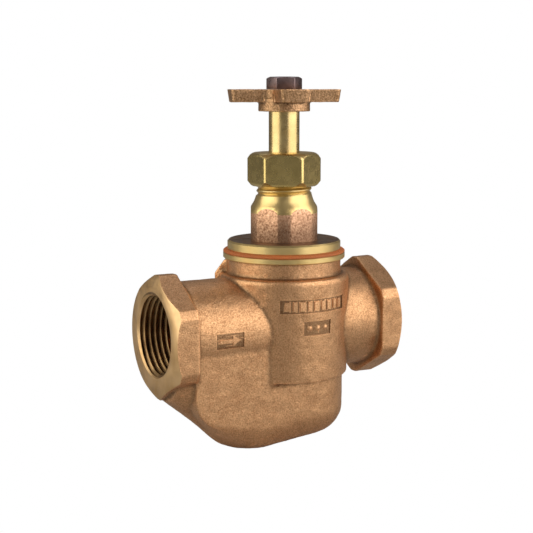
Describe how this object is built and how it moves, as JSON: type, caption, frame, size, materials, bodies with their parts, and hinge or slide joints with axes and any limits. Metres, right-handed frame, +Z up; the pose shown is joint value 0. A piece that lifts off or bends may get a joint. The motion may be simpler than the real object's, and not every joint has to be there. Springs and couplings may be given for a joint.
{
  "type": "globe valve",
  "caption": "Screwed-bonnet globe valve with threaded pipe ports, a deep inlet pan and a rising stem turned by a small cross handle.",
  "frame": {"origin": "centre of the inlet port's face", "axes": "+X along the pipe from the inlet to the outlet, +Z up the stem towards the handle, +Y across the pipe"},
  "size_m": [0.078, 0.0408, 0.1137],
  "materials": {
    "cast_bronze": "sand-cast bronze, fine grain, machined rim and port faces",
    "bonnet_bronze": "sand-cast hexagon with a turned cone, flange and neck",
    "machined_brass": "turned",
    "nut_brass": "satin, turned bevels",
    "stem_brass": "polished",
    "handle_bronze": "sand-cast bronze",
    "screw_metal": "dark, smooth",
    "red_gasket": "pressed fibre",
    "packing": "pressed, matt",
    "seat_rubber": "matt"
  },
  "bodies": {
    "casing": {"valve_body": "cast_bronze", "seat_ring": "machined_brass", "bonnet_gasket": "red_gasket", "bonnet": "bonnet_bronze", "packing_washer": "machined_brass", "packing_ring_lower": "packing", "packing_ring_middle": "packing", "packing_ring_upper": "packing", "gland_follower": "machined_brass", "packing_nut": "nut_brass"},
    "disc": {"disc_holder": "machined_brass", "disc_locknut": "machined_brass", "seat_disc": "seat_rubber", "disc_plate": "machined_brass", "disc_nut": "machined_brass"},
    "spindle": {"stem": "stem_brass", "handle": "handle_bronze", "handle_screw": "screw_metal"}
  },
  "joints": [
    {"name": "disc_lift", "type": "slide", "parent": "casing", "child": "disc", "axis": [0, 0, 1], "range_m": [-0.007, 0]},
    {"name": "handle_turn", "type": "hinge", "parent": "disc", "child": "spindle", "pos_m": [0.0445, 0, 0.07], "axis": [0, 0, 1], "range_deg": [-1008, 0]}
  ],
  "couplings": [
    {"joint": "handle_turn", "follows": "disc_lift", "rad_per_m": 2513.3}
  ]
}
